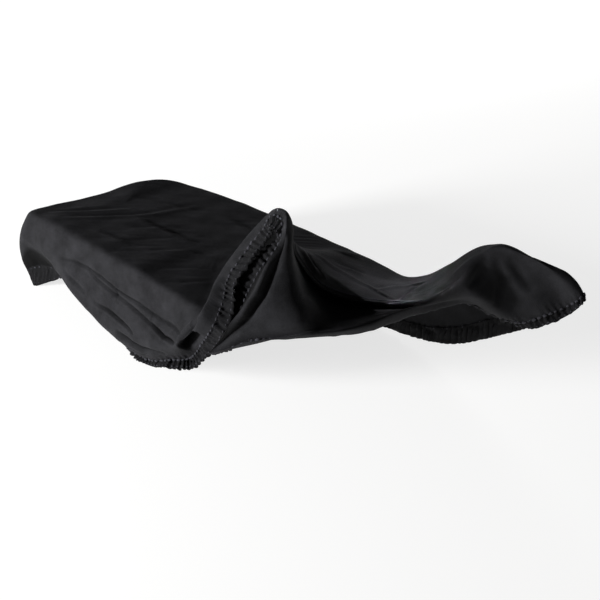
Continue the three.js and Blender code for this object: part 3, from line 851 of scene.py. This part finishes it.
    def _puckers(self) -> np.ndarray:
        """Small waves across the cloth just above the elastic, whose depth falls off like a bell.

        Returns:
            The push along the normals.
        """
        form = self.form
        round_, down = form.lengths()
        above = np.maximum(down[:, [form.seam_step]] - down, 0)
        fade = np.exp(-((above / self.pucker_reach) ** 2))
        wander = self.pucker_wander.at(form.net[:, form.seam_step])
        phase = 2 * np.pi * (round_ / self.pucker_length + wander)
        waves = self.pucker_depth * fade * np.sin(phase)[:, None]
        waves[:, form.seam_step + 1:] = 0
        push = np.zeros(len(form.points))
        push[form.ids] = waves
        return push


def linear(hex_colour: str) -> tuple[float, float, float, float]:
    """Turns a colour to linear by the curve of the sRGB standard.

    Args:
        hex_colour: An sRGB value such as #112233.

    Returns:
        Red, green and blue, with full alpha.
    """
    parts = [int(hex_colour[k:k + 2], 16) / 255 for k in (1, 3, 5)]
    bright = [p / 12.92 if p <= 0.04045 else ((p + 0.055) / 1.055) ** 2.4 for p in parts]
    return (*bright, 1.0)


def add_node(tree: bpy.types.NodeTree, kind: str, settings: dict, links: dict) -> bpy.types.Node:
    """Adds a node.

    Args:
        tree: The material's node tree.
        kind: Blender's name of the node's type.
        settings: Values by the name of an input socket or, where no socket has it, of a property.
        links: Output sockets by the input socket that they lead to.

    Returns:
        The new node.
    """
    node = tree.nodes.new(kind)
    for name, value in settings.items():
        if name in node.inputs:
            node.inputs[name].default_value = value
        else:
            setattr(node, name, value)
    for name, output in links.items():
        tree.links.new(output, node.inputs[name])
    return node


@dataclass(frozen=True)
class KnitFinish:
    """A black knit: mottled and matt, with ribs that run down the cloth, a fine nap and a soft sheen."""

    name: str
    dark: str
    light: str
    rib_mm: float
    rib_bump: float
    grain_mm: float
    grain_bump: float
    roughness: float
    sheen: float
    sheen_roughness: float = 0.45
    sheen_tint: str = "#c9c9cf"
    specular: float = 0.15
    # Near black that the colour is painted towards in creases and on turned-in cloth, as painted shade.
    painted_shade_colour: str = "#040404"
    rib_sway: float = 1.6
    rib_height_mm: float = 0.5
    grain_height_mm: float = 0.6
    mottle_mm: float = 23.81
    nap_share: float = 0.45
    tone_range: tuple[float, float] = (0.36, 0.66)

    def material(self) -> bpy.types.Material:
        """Builds the finish: mottled colour darkened by painted shade in creases and on turned-in cloth, ribs
        across the piece's map, and a nap.

        Returns:
            The new material.
        """
        made = bpy.data.materials.new(self.name)
        made.use_nodes = True
        tree = made.node_tree
        shader = tree.nodes["Principled BSDF"]
        shader.inputs["Roughness"].default_value = self.roughness
        shader.inputs["Sheen Weight"].default_value = self.sheen
        shader.inputs["Sheen Roughness"].default_value = self.sheen_roughness
        shader.inputs["Sheen Tint"].default_value = linear(self.sheen_tint)
        shader.inputs["Specular IOR Level"].default_value = self.specular
        place = add_node(tree, "ShaderNodeTexCoord", {}, {})
        ribs = add_node(
            tree, "ShaderNodeTexWave",
            {"bands_direction": "X", "Scale": self._waves(self.rib_mm), "Distortion": self.rib_sway,
             "Detail": 2.0, "Detail Scale": 0.6},
            {"Vector": place.outputs["UV"]},
        )
        nap = add_node(
            tree, "ShaderNodeTexNoise", {"Scale": 1 / (self.grain_mm * MM), "Detail": 3.0, "Roughness": 0.6},
            {"Vector": place.outputs["Object"]},
        )
        mottle = add_node(
            tree, "ShaderNodeTexNoise",
            {"Scale": 1 / (self.mottle_mm * MM), "Detail": 5.0, "Roughness": 0.62},
            {"Vector": place.outputs["Object"]},
        )
        tone = add_node(
            tree, "ShaderNodeMix", {"data_type": "FLOAT", "Factor": self.nap_share},
            {"A": mottle.outputs["Fac"], "B": nap.outputs["Fac"]},
        )
        colour = add_node(tree, "ShaderNodeValToRGB", {}, {"Fac": tone.outputs["Result"]})
        stops = zip(colour.color_ramp.elements, self.tone_range, (self.dark, self.light))
        for stop, position, shade in stops:
            stop.position = position
            stop.color = linear(shade)
        # Painted shade: the colour is mixed towards near black by the cloth's painted-shade attribute.
        crease = add_node(tree, "ShaderNodeAttribute", {"attribute_name": PAINTED_SHADE}, {})
        pressed = add_node(
            tree, "ShaderNodeMix", {"data_type": "RGBA", "B": linear(self.painted_shade_colour)},
            {"Factor": crease.outputs["Fac"], "A": colour.outputs["Color"]},
        )
        tree.links.new(pressed.outputs["Result"], shader.inputs["Base Color"])
        rib_bump = add_node(
            tree, "ShaderNodeBump", {"Strength": self.rib_bump, "Distance": self.rib_height_mm * MM},
            {"Height": ribs.outputs["Fac"]},
        )
        bump = add_node(
            tree, "ShaderNodeBump", {"Strength": self.grain_bump, "Distance": self.grain_height_mm * MM},
            {"Height": nap.outputs["Fac"], "Normal": rib_bump.outputs["Normal"]},
        )
        tree.links.new(bump.outputs["Normal"], shader.inputs["Normal"])
        return made

    @staticmethod
    def _waves(pitch_mm: float) -> float:
        """Scale of Blender's wave texture for a pitch on a map in metres: one wave in pi / 10 of its unit."""
        return math.pi / (10 * pitch_mm * MM)


# Brushed jersey of polyester and elastane: a matt, slightly mottled black whose nap softens the light.
# Its real ribs are under a millimetre apart, so they are drawn coarser, to show.
JERSEY = KnitFinish(
    name="black_brushed_jersey", dark="#111112", light="#212123", rib_mm=2.4, rib_bump=0.14,
    grain_mm=1.0, grain_bump=0.5, roughness=0.9, sheen=0.02,
)
# Knitted elastic in its gathers: a deeper black than the jersey's, partly painted shade of its ribs and
# folds, with firmer ribs, drawn coarser too.
ELASTIC = KnitFinish(
    name="black_gathered_elastic", dark="#0c0c0d", light="#161617", rib_mm=2.0, rib_bump=0.3,
    grain_mm=0.9, grain_bump=0.5, roughness=0.88, sheen=0.02,
)
# Spun polyester thread: a paler, smoother black, which picks the stitches out of the band.
THREAD = KnitFinish(
    name="black_sewing_thread", dark="#1e1e20", light="#35353a", rib_mm=0.6, rib_bump=0.2,
    grain_mm=0.5, grain_bump=0.3, roughness=0.7, sheen=0.02,
)


def mesh_piece(
    name: str, points: np.ndarray, faces: list[list[int]], uv: np.ndarray, finish: KnitFinish
) -> bpy.types.Object:
    """Makes a piece from arrays, smooth and riding on the body.

    Args:
        name: Name of the piece.
        points: Points in millimetres.
        faces: Corner numbers of each face.
        uv: Map in metres, one pair for each point.
        finish: The piece's finish.

    Returns:
        The new object.
    """
    mesh = bpy.data.meshes.new(name)
    mesh.from_pydata((points * MM).tolist(), [], faces)
    mesh.polygons.foreach_set("use_smooth", np.ones(len(mesh.polygons), bool))
    corners = np.zeros(len(mesh.loops), int)
    mesh.loops.foreach_get("vertex_index", corners)
    layer = mesh.uv_layers.new(name="cloth_map")
    layer.data.foreach_set("uv", uv[corners].astype(np.float32).ravel())
    mesh.materials.append(finish.material())
    mesh.update()
    piece = bpy.data.objects.new(name, mesh)
    bpy.context.scene.collection.objects.link(piece)
    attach(piece, BODY)
    LOG.info("%s: %d faces", name, len(faces))
    return piece


def thicken(piece: bpy.types.Object, thickness: float) -> None:
    """Gives a sheet its thickness, inwards.

    Args:
        piece: The sheet.
        thickness: Its thickness in millimetres.
    """
    solid = piece.modifiers.new("thickness", "SOLIDIFY")
    solid.thickness = thickness * MM
    solid.offset = -1
    solid.use_even_offset = False


@dataclass
class Cover:
    """The cloth of the cover and the seam welt on its top."""

    form: CoverForm
    # Painted shade of each point of the net, in creases and on turned-in cloth.
    shade: np.ndarray
    flat: tuple[float, float] = (0.46, 0.70)
    welt_from: str = "tip_right"
    welt_to: str = "valley"
    welt_back: int = 4
    welt_radius: float = 0.8
    welt_sides: int = 7

    def build(self) -> bpy.types.Object:
        """Makes the cloth: the net from the middle line down to the seam over the elastic.

        Returns:
            The new piece.
        """
        form = self.form
        steps = form.seam_step + 1
        quads = form.faces[:, 1:form.seam_step].reshape(-1, 4)
        kept = np.unique(form.ids[:, :steps])
        number = np.full(len(form.points), -1)
        number[kept] = np.arange(len(kept))
        round_, down = form.lengths()
        uv = np.zeros((len(form.points), 2))
        uv[form.ids, 0] = round_[:, None] * MM
        uv[form.ids, 1] = down * MM
        faces = number[quads].tolist() + self._crown_faces(number)
        cloth = mesh_piece("cover_cloth_sheet", form.points[kept], faces, uv[kept], JERSEY)
        # The painted shade goes on the cloth as an attribute that its finish darkens by.
        layer = cloth.data.attributes.new(PAINTED_SHADE, "FLOAT", "POINT")
        layer.data.foreach_set("value", self.shade[kept].astype(np.float32))
        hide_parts("cover_cloth")
        return cloth

    def _crown_faces(self, number: np.ndarray) -> list[list[int]]:
        """Lists the faces next to the middle line, each with the line's points between its two profiles.

        Args:
            number: Each point's number in the mesh.

        Returns:
            Corner numbers of each face.
        """
        faces = []
        for a, b, c, d in self.form.faces[:, 0].tolist():
            between = range(d + 1, a)
            face = list(dict.fromkeys([a, b, c, d, *between]))
            faces.append(number[face].tolist())
        return faces

    def welt(self) -> bpy.types.Object:
        """Makes the raised seam along the top strip: a thin tube carried along the net's points.

        Returns:
            The new piece.
        """
        form = self.form
        step = form.edge_step - form.steps["edge"] // 2 - self.welt_back
        chosen = (form.rows >= form.row(self.welt_from)) & (form.rows <= form.row(self.welt_to))
        path = form.points[form.ids[chosen, step]]
        normals = form.normals()[form.ids[chosen, step]]
        return tube("top_seam_welt", path, normals, self.welt_radius, self.welt_sides)


def tube(name: str, path: np.ndarray, normals: np.ndarray, radius: float, sides: int) -> bpy.types.Object:
    """A tube along a path: a ring of points round each of its points, closed at both ends.

    Args:
        name: Name of the piece.
        path: Points in millimetres.
        normals: The surface's normals there.
        radius: The tube's radius.
        sides: Points in a ring.

    Returns:
        The new piece.
    """
    along = np.gradient(path, axis=0)
    along /= np.linalg.norm(along, axis=1, keepdims=True)
    across = np.cross(along, normals)
    angle = 2 * np.pi * np.arange(sides) / sides
    ring = np.cos(angle)[None, :, None] * across[:, None] + np.sin(angle)[None, :, None] * normals[:, None]
    points = (path[:, None] + radius * ring).reshape(-1, 3)
    ids = np.arange(len(points)).reshape(len(path), sides)
    quads = ring_faces(ids.T).reshape(-1, 4)
    faces = [*quads.tolist(), ids[0].tolist(), ids[-1][::-1].tolist()]
    return mesh_piece(name, points, faces, points[:, :2] * MM, THREAD)


@dataclass
class HemElastic:
    """The gathered elastic round the hem, and the stitches along its two edges."""

    form: CoverForm
    flat_width: float = 0.02
    fullness: float = 1.25
    thickness: float = 1.4
    station_step: float = 1.1
    least_stations: int = 5
    tight_share: float = 0.25
    # Gathers: waves whose place, height and slant wander, with lumps on them, kept under a limit.
    gather_length: float = 7.2
    gather_depth: float = 1.6
    gather_limit: float = 1.7
    gather_wander: Noise = Noise(40.0, 3.0, 17)
    gather_uneven: Noise = Noise(22.0, 1.1, 11)
    gather_slant: Noise = Noise(30.0, 1.0, 12)
    gather_lumps: Noise = Noise(11.0, 2.0, 14)
    slant_turn: float = 5.5
    slant_shift: float = 3.0
    slow_share: float = 0.6
    # Across the band: the part that the seam holds flat, the share left at its sides, and the opening hem.
    seam_part: float = 0.1
    side_share: float = 0.3
    hem_part: float = 0.14
    hem_share: float = 0.6
    # Stitches: the half axes of a bead, its rows as part of the width and share of the size, and its faces.
    stitch_size: Point = (2.5, 1.6, 1.4)
    stitch_rows: tuple[tuple[float, float], ...] = ((0.12, 1.0), (0.86, 0.55))
    stitch_faces: tuple[int, int] = (8, 5)
    stitch_uneven: Noise = Noise(9.0, 0.45, 15)
    tight_stitch: float = 0.4

    def __post_init__(self) -> None:
        """Draws the strip's points along the hem at an even step, with their normals."""
        form = self.form
        strip = form.points[form.ids[:, form.seam_step:]]
        normals = form.normals()[form.ids[:, form.seam_step:]]
        closed = np.concatenate([strip, strip[:1]])
        closed_normals = np.concatenate([normals, normals[:1]])
        hem = closed[:, closed.shape[1] // 2]
        length = np.concatenate([[0], np.cumsum(np.linalg.norm(np.diff(hem, axis=0), axis=1))])
        self.round_length = length[-1]
        gathers = round(self.round_length / self.gather_length)
        per_gather = max(self.least_stations, round(self.gather_length / self.station_step))
        self.gathers = gathers
        self.count = gathers * per_gather
        self.at = np.arange(self.count) * self.round_length / self.count
        rows = np.interp(self.at, length, np.append(form.rows, len(form.sections)))
        tight = (rows > form.far_end) | (rows < form.row("back_tight"))
        self.loose = np.where(tight, self.tight_share, 1.0)
        flat = closed.reshape(len(closed), -1)
        flat_normals = closed_normals.reshape(len(closed), -1)
        self.strip = self._along(flat, length).reshape(self.count, -1, 3)
        self.normals = self._along(flat_normals, length).reshape(self.count, -1, 3)
        self.normals /= np.linalg.norm(self.normals, axis=2, keepdims=True)
        even = 2 * np.pi * self.gathers * np.arange(self.count) / self.count
        self.phase = even + self.gather_wander.at(self.strip[:, 0])

    def flat(self) -> tuple[float, float]:
        """The band's width, and its length before it is gathered, in metres."""
        return self.flat_width, self.fullness * self.round_length * MM

    def _along(self, values: np.ndarray, length: np.ndarray) -> np.ndarray:
        """Values at the strip's even stations, on straight lines between the net's stations."""
        return np.stack([np.interp(self.at, length, values[:, k]) for k in range(values.shape[1])], axis=1)

    def _gathers(self) -> np.ndarray:
        """Works out the gathers: slanting waves, one for each gather and one for each two, and lumps.

        Returns:
            The push along the normals by station and step, less where the band is held or drawn tight.
        """
        across = np.linspace(0, 1, self.strip.shape[1])[None, :]
        held = self.side_share + (1 - self.side_share) * np.sin(np.pi * across) ** 2
        held = held * np.clip(across / self.seam_part, 0, 1)
        held = held + self.hem_share * np.clip((across - (1 - self.hem_part)) / self.hem_part, 0, 1)
        uneven = 1 + self.gather_uneven.at(self.strip[:, 0])[:, None]
        slant = self.gather_slant.at(self.strip[:, 0])[:, None]
        phase = self.phase[:, None] + self.slant_turn * slant * (across - 0.5)
        waves = np.sin(phase) + self.slow_share * np.sin(0.5 * phase + self.slant_shift * slant)
        lumps = self.gather_lumps.at(self.strip.reshape(-1, 3)).reshape(self.strip.shape[:2])
        raised = self.gather_limit * np.tanh((uneven * waves + lumps) / self.gather_limit)
        return self.gather_depth * held * self.loose[:, None] * raised

    def build(self) -> bpy.types.Object:
        """Makes the gathered band: the strip pushed out and in along its normals, and thickened.

        Returns:
            The new piece.
        """
        self.shaped = self.strip + self.normals * self._gathers()[:, :, None]
        steps = self.shaped.shape[1]
        ids = np.arange(self.count * steps).reshape(self.count, steps)
        across = np.linspace(0, self.form.elastic_width, steps)
        uv = np.stack(np.broadcast_arrays(self.at[:, None], across[None, :]), axis=-1) * MM
        band = mesh_piece(
            "hem_elastic_band", self.shaped.reshape(-1, 3), ring_faces(ids).reshape(-1, 4).tolist(),
            uv.reshape(-1, 2), ELASTIC,
        )
        thicken(band, self.thickness)
        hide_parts("hem_elastic")
        LOG.info("elastic: %d gathers, %.2f m round", self.gathers, self.round_length * MM)
        return band

    def stitches(self) -> bpy.types.Object:
        """Makes the stitches: a small ellipsoid on each gather, along a line near each edge of the strip.

        Returns:
            The new piece.
        """
        segments, rings = self.stitch_faces
        theta = np.linspace(0, np.pi, rings + 1)[1:-1]
        phi = 2 * np.pi * np.arange(segments) / segments
        belt = np.stack([
            np.repeat(np.cos(theta), segments),
            np.outer(np.sin(theta), np.cos(phi)).ravel(),
            np.outer(np.sin(theta), np.sin(phi)).ravel(),
        ], axis=1)
        unit = np.concatenate([belt, [[1, 0, 0], [-1, 0, 0]]]) * np.array(self.stitch_size)
        ids = np.arange(len(belt)).reshape(rings - 1, segments)
        turned = np.roll(ids, -1, axis=1)
        quads = ring_faces(ids.T).reshape(-1, 4)
        poles = [[len(belt), a, b] for a, b in zip(ids[0], turned[0])]
        poles += [[len(belt) + 1, b, a] for a, b in zip(ids[-1], turned[-1])]
        points, faces = [], []
        along = np.roll(self.strip, -1, axis=0) - np.roll(self.strip, 1, axis=0)
        # A sine peaks a quarter past each full turn; the first and the last turn are left out.
        peaks = 2 * np.pi * (1 + np.arange(self.gathers - 2) + 0.25)
        chosen = np.searchsorted(self.phase, peaks)
        for row, share in self.stitch_rows:
            step = round(row * (self.strip.shape[1] - 1))
            normal = self.normals[chosen, step]
            tangent = along[chosen, step] / np.linalg.norm(along[chosen, step], axis=1, keepdims=True)
            side = np.cross(normal, tangent)
            axes = np.stack([tangent, side, normal], axis=1)
            uneven = 1 + self.stitch_uneven.at(self.strip[chosen, step])
            tight = self.tight_stitch + (1 - self.tight_stitch) * self.loose[chosen]
            sizes = (share * uneven * tight)[:, None, None]
            beads = self.shaped[chosen, step][:, None] + sizes * np.einsum("pk,nkd->npd", unit, axes)
            start = sum(len(p) for p in points)
            shift = start + len(unit) * np.arange(len(chosen))
            points.append(beads.reshape(-1, 3))
            for shape in (quads, np.array(poles)):
                faces += (shape[None] + shift[:, None, None]).reshape(-1, shape.shape[1]).tolist()
        joined = np.concatenate(points)
        return mesh_piece("hem_stitches", joined, faces, joined[:, :2] * MM, THREAD)


class Lamp(NamedTuple):
    """A square light: place, aim and size in metres, watts, and the spread of its beam in degrees."""

    name: str
    at: Point
    aim: Point
    size: float
    watts: float
    spread: float = 180


@dataclass
class Studio:
    """The pale floor, the lights and the camera, in metres and degrees."""

    camera_at: Point = (1.3313, -0.9821, 0.7342)
    azimuth: float = 48.88
    elevation: float = 26.66
    lens_mm: float = 83.9
    sensor_mm: float = 36.0
    floor_half: float = 6.0
    floor_gap: float = 0.001
    floor_colour: str = "#9a9a99"
    floor_roughness: float = 0.9
    floor_glow: float = 0.75
    white: str = "#ffffff"
    key: Lamp = Lamp("key", (-0.78, -2.3, 0.36), (0.12, 0.0, 0.0), 0.6, 205.0)
    behind: Lamp = Lamp("behind", (-1.6, 1.7, 0.2), (0.12, 0.0, 0.0), 0.5, 62.0)
    strip_beam: Lamp = Lamp("strip", (-0.75, -0.75, 1.45), (0.288, 0.085, 0.02), 0.05, 0.125, 4.7)
    # The surround: heights between which it fades, as sines, and its strength below and above them.
    fade_heights: tuple[float, float] = (0.05, 0.12)
    fade_strengths: tuple[float, float] = (0.85, 0.03)

    def camera(self) -> None:
        """Places the camera at the view's azimuth and elevation."""
        data = bpy.data.cameras.new("view")
        data.lens = self.lens_mm
        data.sensor_width = self.sensor_mm
        eye = bpy.data.objects.new("view", data)
        eye.location = self.camera_at
        eye.rotation_euler = (math.radians(90 - self.elevation), 0, math.radians(self.azimuth))
        bpy.context.scene.collection.objects.link(eye)
        bpy.context.scene.camera = eye

    def floor(self, height: float) -> None:
        """Lays a pale, faintly glowing floor.

        Args:
            height: Height of the lowest point that stands over it.
        """
        half = self.floor_half
        mesh = bpy.data.meshes.new("floor")
        corners = [(-half, -half), (half, -half), (half, half), (-half, half)]
        mesh.from_pydata([(x, y, height - self.floor_gap) for x, y in corners], [], [(0, 1, 2, 3)])
        paint = bpy.data.materials.new("pale_floor")
        paint.use_nodes = True
        shader = paint.node_tree.nodes["Principled BSDF"]
        shader.inputs["Base Color"].default_value = linear(self.floor_colour)
        shader.inputs["Roughness"].default_value = self.floor_roughness
        shader.inputs["Emission Color"].default_value = linear(self.white)
        shader.inputs["Emission Strength"].default_value = self.floor_glow
        mesh.materials.append(paint)
        plane = bpy.data.objects.new("floor", mesh)
        bpy.context.scene.collection.objects.link(plane)
        plane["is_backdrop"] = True

    def lights(self, pieces: list[bpy.types.Object]) -> None:
        """Sets a low key light at the view's left, a weaker one behind and a narrow beam on the strip.

        The surround is bright up to the horizon and dark above it.

        Args:
            pieces: The pieces that the beam lights; it lights nothing else.
        """
        self._area(self.key)
        self._area(self.behind)
        beam = self._area(self.strip_beam)
        lit = bpy.data.collections.new("lit_by_beam")
        for piece in pieces:
            lit.objects.link(piece)
        beam.light_linking.receiver_collection = lit
        world = bpy.data.worlds.new("surround")
        world.use_nodes = True
        tree = world.node_tree
        back = tree.nodes["Background"]
        back.inputs["Color"].default_value = linear(self.white)
        place = add_node(tree, "ShaderNodeTexCoord", {}, {}).outputs["Generated"]
        height = add_node(tree, "ShaderNodeSeparateXYZ", {}, {"Vector": place}).outputs["Z"]
        low, high = self.fade_heights
        below, above = self.fade_strengths
        fade = add_node(
            tree, "ShaderNodeMapRange", {"From Min": low, "From Max": high, "To Min": below, "To Max": above},
            {"Value": height},
        )
        tree.links.new(fade.outputs["Result"], back.inputs["Strength"])
        bpy.context.scene.world = world
        bpy.context.scene.view_settings.view_transform = "Standard"

    @staticmethod
    def _area(lamp: Lamp) -> bpy.types.Object:
        """Adds a light that faces its aim.

        Args:
            lamp: The light.

        Returns:
            The new object.
        """
        data = bpy.data.lights.new(lamp.name, "AREA")
        data.size = lamp.size
        data.energy = lamp.watts
        data.spread = math.radians(lamp.spread)
        light = bpy.data.objects.new(lamp.name, data)
        light.location = lamp.at
        light.visible_glossy = False
        aim = mathutils.Vector(lamp.aim) - mathutils.Vector(lamp.at)
        light.rotation_euler = aim.to_track_quat("-Z", "Y").to_euler()
        bpy.context.scene.collection.objects.link(light)
        return light


def main() -> None:
    """Builds the cover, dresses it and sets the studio."""
    logging.basicConfig(level=logging.INFO)
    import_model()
    cad_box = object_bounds()
    studio = Studio()
    studio.camera()
    form = CoverForm()
    # Pressing the details also gives the painted shade of creases and turned-in cloth.
    shade = ClothDetail(form).press()
    cover = Cover(form, shade)
    cloth = cover.build()
    welt = cover.welt()
    elastic = HemElastic(form)
    band = elastic.build()
    stitches = elastic.stitches()
    elastic.flat()
    studio.floor(cad_box[0][2])
    studio.lights([cloth, welt, band, stitches])


if __name__ == "__main__":
    main()
